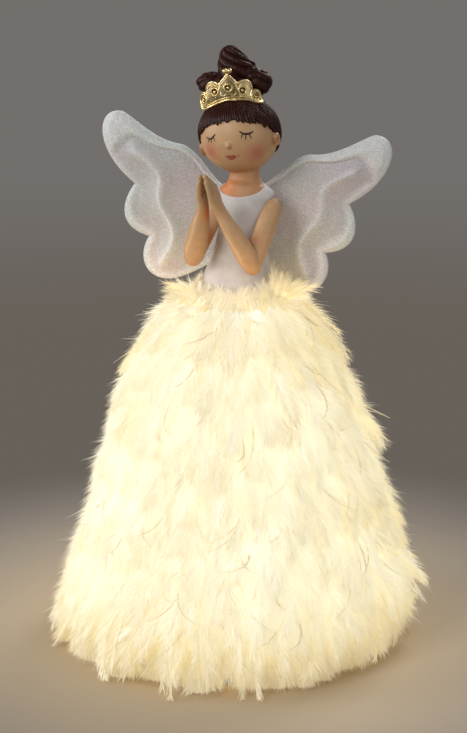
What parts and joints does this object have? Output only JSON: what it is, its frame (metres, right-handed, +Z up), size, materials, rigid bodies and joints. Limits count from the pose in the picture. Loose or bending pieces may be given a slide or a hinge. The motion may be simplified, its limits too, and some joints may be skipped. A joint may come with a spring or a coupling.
{
  "type": "angel tree topper",
  "caption": "Lit angel tree topper: a painted figure with folded hands, gold crown and padded wings, on a glowing dome skirt of white feather tiers.",
  "frame": {"origin": "middle of the base, on the surface that the skirt stands on", "axes": "+Z up through the tree socket, the figure faces -Y, her left hand is towards +X"},
  "size_m": [0.191, 0.191, 0.2982],
  "materials": {
    "feather": "soft white down, lit from behind",
    "shell_plastic": "translucent moulded dome",
    "base_plastic": "moulded white",
    "switch_plastic": "moulded black",
    "contact_metal": "nickel plated",
    "cell_wrap": "plain shrink wrap",
    "wire_sleeve": "clear sleeve over copper",
    "lamp": "warm white bead",
    "dress": "painted resin, white",
    "skin": "painted resin, matt",
    "hair": "painted resin, satin",
    "gold": "gold paint, polished on the high spots",
    "wing_fabric": "padded white glitter fabric"
  },
  "bodies": {
    "topper": {"skirt_shell": "shell_plastic", "feather_tier_01": "feather", "feather_tier_02": "feather", "feather_tier_03": "feather", "feather_tier_04": "feather", "feather_tier_05": "feather", "feather_tier_06": "feather", "feather_tier_07": "feather", "feather_tier_08": "feather", "feather_tier_09": "feather", "feather_tier_10": "feather", "waist_trim": "feather", "base_plate": "base_plastic", "tree_socket": "base_plastic", "battery_box": "base_plastic", "battery_1": "cell_wrap", "battery_2": "cell_wrap", "contact_bridge": "contact_metal", "contact_positive": "contact_metal", "contact_negative": "contact_metal", "switch_body": "switch_plastic", "led_wire": "wire_sleeve", "led_01": "lamp", "led_02": "lamp", "led_03": "lamp", "led_04": "lamp", "led_05": "lamp", "led_06": "lamp", "led_07": "lamp", "led_08": "lamp", "led_09": "lamp", "led_10": "lamp", "led_11": "lamp", "led_12": "lamp", "bodice": "dress", "figure_screw": "contact_metal", "figure_washer": "contact_metal", "head": "skin", "hair_cap": "hair", "hair_bun": "hair", "crown": "gold", "left_arm": "skin", "right_arm": "skin", "left_wing": "wing_fabric", "right_wing": "wing_fabric", "wing_yoke": "wing_fabric"},
    "door": {"battery_door": "base_plastic"},
    "switch": {"switch_slider": "switch_plastic"}
  },
  "joints": [
    {"name": "battery_door_hinge", "type": "hinge", "parent": "topper", "child": "door", "pos_m": [0, 0.0474, 0.0015], "axis": [1, 0, 0], "range_deg": [0, 90]},
    {"name": "power_switch_slide", "type": "slide", "parent": "topper", "child": "switch", "axis": [-1, 0, 0], "range_m": [0, 0.003]}
  ]
}
